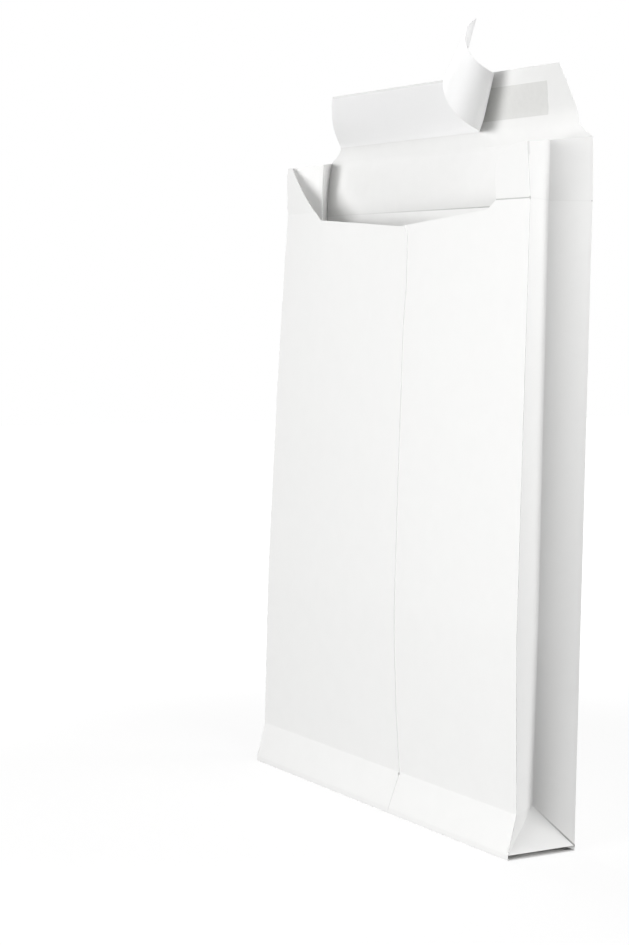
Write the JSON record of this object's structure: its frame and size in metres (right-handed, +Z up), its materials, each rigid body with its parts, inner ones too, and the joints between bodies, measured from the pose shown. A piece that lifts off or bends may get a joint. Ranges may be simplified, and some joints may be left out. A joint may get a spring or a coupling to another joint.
{
  "type": "gusseted envelope",
  "caption": "White paper envelope with gusseted sides and a block bottom, standing open, with its closing flap up and the release liner partly peeled off the glue strip.",
  "frame": {"origin": "middle of the underside of the base, on the surface the envelope stands on", "axes": "+Z up the envelope towards its flap, +X along its width to the right as seen from the seamed front panel, +Y from the seamed front panel to the back panel that carries the flap"},
  "size_m": [0.229, 0.0412, 0.3832],
  "materials": {
    "envelope_paper": "matt",
    "glue_film": "satin",
    "release_paper": "satin"
  },
  "bodies": {
    "root": {"envelope_body": "envelope_paper", "adhesive_strip": "glue_film", "release_liner": "release_paper"}
  },
  "joints": []
}
